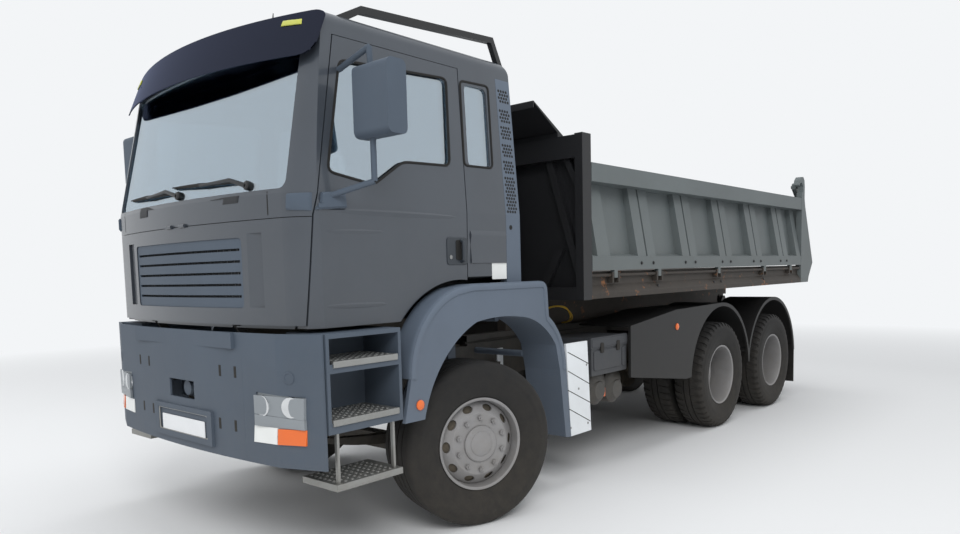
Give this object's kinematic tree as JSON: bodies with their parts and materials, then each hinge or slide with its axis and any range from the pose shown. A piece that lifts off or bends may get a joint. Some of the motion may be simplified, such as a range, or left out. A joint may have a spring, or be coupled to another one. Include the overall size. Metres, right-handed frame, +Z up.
{
  "type": "dump truck",
  "caption": "Three-axle tipper truck: day cab, ribbed drop-side steel body on a tipping subframe, steered front wheels, twin rear wheels",
  "frame": {"origin": "on the ground under the middle of the truck's box", "axes": "+X the truck's left, +Y rearwards (the cab faces -Y), +Z up"},
  "size_m": [3, 7.76, 3.19],
  "materials": {
    "cab_paint": "warm dark grey metallic, gloss",
    "trim_plastic": "blue-grey grained plastic",
    "frame_paint": "dark grey chassis paint, dusty",
    "bed_paint": "dark green-grey paint, worn",
    "front_wall_paint": "near-black paint",
    "tyre_rubber": "dusty black",
    "rim_steel": "silver-grey paint, satin",
    "bare_steel": "satin steel",
    "cast_grey": "rough cast",
    "glass": "clear",
    "visor_acrylic": "violet tinted acrylic",
    "black_tube": "black, satin",
    "seat_cloth": "dark woven cloth",
    "dash_plastic": "soft grained plastic",
    "mirror_plastic": "grained plastic with a mirror face",
    "lamp_lens": "clear moulded lens",
    "tread_alloy": "toothed alloy tread",
    "cover_white": "white moulded panel",
    "box_grey": "grey moulded box",
    "tank_paint": "black tank paint",
    "guard_plastic": "black grained plastic"
  },
  "bodies": {
    "chassis": {"chassis_frame": "frame_paint", "subframe": "frame_paint", "front_axle": "cast_grey", "rear_axles": "cast_grey", "leaf_springs": "frame_paint", "engine": "cast_grey", "bumper": "trim_plastic", "front_arches": "trim_plastic", "step_boxes": "trim_plastic", "step_treads": "tread_alloy", "side_covers": "cover_white", "battery_box": "box_grey", "side_tanks": "tank_paint", "rear_mudguards": "guard_plastic", "rear_beam": "frame_paint", "lamps": "lamp_lens"},
    "cab": {"cab_floor": "cab_paint", "cab_front": "cab_paint", "cab_sides": "cab_paint", "cab_back": "cab_paint", "cab_roof": "cab_paint", "cab_glass": "glass", "sun_visor": "visor_acrylic", "roof_bars": "black_tube", "intake_grilles": "trim_plastic", "seats": "seat_cloth", "dashboard": "dash_plastic"},
    "left_door": {"door_left": "cab_paint", "door_glass_left": "glass", "mirror_left": "mirror_plastic"},
    "right_door": {"door_right": "cab_paint", "door_glass_right": "glass", "mirror_right": "mirror_plastic"},
    "flap": {"front_flap": "cab_paint", "grille": "trim_plastic"},
    "left_knuckle": {"knuckle_left": "cast_grey"},
    "right_knuckle": {"knuckle_right": "cast_grey"},
    "track_rod": {"tie_rod": "frame_paint"},
    "front_wheel_left": {"front_tyre_left": "tyre_rubber", "front_rim_left": "rim_steel"},
    "front_wheel_right": {"front_tyre_right": "tyre_rubber", "front_rim_right": "rim_steel"},
    "tipper": {"bed_floor": "bed_paint", "bed_front_wall": "front_wall_paint", "bed_rear_posts": "bed_paint"},
    "drop_side_left": {"side_wall_left": "bed_paint"},
    "drop_side_right": {"side_wall_right": "bed_paint"},
    "gate": {"tailgate": "bed_paint"},
    "ram_barrel": {"hoist_barrel": "frame_paint"},
    "ram_stage_1": {"hoist_stage_1": "bare_steel"},
    "ram_stage_2": {"hoist_stage_2": "bare_steel"},
    "ram_stage_3": {"hoist_stage_3": "bare_steel"},
    "twin_1_left": {"rear_tyres_1_left": "tyre_rubber", "rear_rims_1_left": "rim_steel"},
    "twin_1_right": {"rear_tyres_1_right": "tyre_rubber", "rear_rims_1_right": "rim_steel"},
    "twin_2_left": {"rear_tyres_2_left": "tyre_rubber", "rear_rims_2_left": "rim_steel"},
    "twin_2_right": {"rear_tyres_2_right": "tyre_rubber", "rear_rims_2_right": "rim_steel"}
  },
  "joints": [
    {"name": "steer_left", "type": "hinge", "parent": "chassis", "child": "left_knuckle", "pos_m": [0.89, -2.395, 0.53], "axis": [0, 0, 1], "range_deg": [-20, 56]},
    {"name": "steer_right", "type": "hinge", "parent": "chassis", "child": "right_knuckle", "pos_m": [-0.89, -2.395, 0.53], "axis": [0, 0, 1], "range_deg": [-20, 56]},
    {"name": "track_rod_pivot", "type": "hinge", "parent": "left_knuckle", "child": "track_rod", "pos_m": [0.94253, -2.23332, 0.372], "axis": [0, 0, 1], "range_deg": [-56, 20]},
    {"name": "front_wheel_spin_left", "type": "hinge", "parent": "left_knuckle", "child": "front_wheel_left", "pos_m": [0.89, -2.395, 0.53], "axis": [0.9511, -0.309, 0], "continuous": true},
    {"name": "front_wheel_spin_right", "type": "hinge", "parent": "right_knuckle", "child": "front_wheel_right", "pos_m": [-0.89, -2.395, 0.53], "axis": [0.9511, -0.309, 0], "continuous": true},
    {"name": "rear_wheel_spin_1_left", "type": "hinge", "parent": "chassis", "child": "twin_1_left", "pos_m": [0.902, 1.205, 0.53], "axis": [1, 0, 0], "continuous": true},
    {"name": "rear_wheel_spin_1_right", "type": "hinge", "parent": "chassis", "child": "twin_1_right", "pos_m": [-0.902, 1.205, 0.53], "axis": [1, 0, 0], "continuous": true},
    {"name": "rear_wheel_spin_2_left", "type": "hinge", "parent": "chassis", "child": "twin_2_left", "pos_m": [0.902, 2.605, 0.53], "axis": [1, 0, 0], "continuous": true},
    {"name": "rear_wheel_spin_2_right", "type": "hinge", "parent": "chassis", "child": "twin_2_right", "pos_m": [-0.902, 2.605, 0.53], "axis": [1, 0, 0], "continuous": true},
    {"name": "cab_tilt", "type": "hinge", "parent": "chassis", "child": "cab", "pos_m": [0, -3.755, 1.3675], "axis": [1, 0, 0], "range_deg": [0, 60]},
    {"name": "door_swing_left", "type": "hinge", "parent": "cab", "child": "left_door", "pos_m": [1.112, -3.676, 2], "axis": [0, 0, -1], "range_deg": [0, 75]},
    {"name": "door_swing_right", "type": "hinge", "parent": "cab", "child": "right_door", "pos_m": [-1.112, -3.676, 2], "axis": [0, 0, 1], "range_deg": [0, 75]},
    {"name": "flap_lift", "type": "hinge", "parent": "cab", "child": "flap", "pos_m": [0, -3.831, 1.936], "axis": [-1, 0, 0], "range_deg": [0, 70]},
    {"name": "bed_tip", "type": "hinge", "parent": "chassis", "child": "tipper", "pos_m": [0, 3.055, 1.195], "axis": [-1, 0, 0], "range_deg": [0, 50]},
    {"name": "drop_side_fold_left", "type": "hinge", "parent": "tipper", "child": "drop_side_left", "pos_m": [1.228, 1.005, 1.575], "axis": [0, 1, 0], "range_deg": [0, 90]},
    {"name": "drop_side_fold_right", "type": "hinge", "parent": "tipper", "child": "drop_side_right", "pos_m": [-1.228, 1.005, 1.575], "axis": [0, -1, 0], "range_deg": [0, 90]},
    {"name": "gate_swing", "type": "hinge", "parent": "tipper", "child": "gate", "pos_m": [0, 3.473, 2.56], "axis": [1, 0, 0], "range_deg": [0, 80]},
    {"name": "ram_lean", "type": "hinge", "parent": "chassis", "child": "ram_barrel", "pos_m": [0, 0.555, 1.095], "axis": [-1, 0, 0], "range_deg": [0, 27]},
    {"name": "ram_slide_1", "type": "slide", "parent": "ram_barrel", "child": "ram_stage_1", "axis": [0, 0, 1], "range_m": [0, 0.695]},
    {"name": "ram_slide_2", "type": "slide", "parent": "ram_stage_1", "child": "ram_stage_2", "axis": [0, 0, 1], "range_m": [0, 0.695]},
    {"name": "ram_slide_3", "type": "slide", "parent": "ram_stage_2", "child": "ram_stage_3", "axis": [0, 0, 1], "range_m": [0, 0.695]}
  ],
  "couplings": [
    {"joint": "steer_right", "follows": "steer_left", "ratio": 1},
    {"joint": "track_rod_pivot", "follows": "steer_left", "ratio": -1},
    {"joint": "ram_lean", "follows": "bed_tip", "ratio": 0.532},
    {"joint": "ram_slide_1", "follows": "bed_tip", "m_per_rad": 0.79492},
    {"joint": "ram_slide_2", "follows": "bed_tip", "m_per_rad": 0.79492},
    {"joint": "ram_slide_3", "follows": "bed_tip", "m_per_rad": 0.79492}
  ]
}
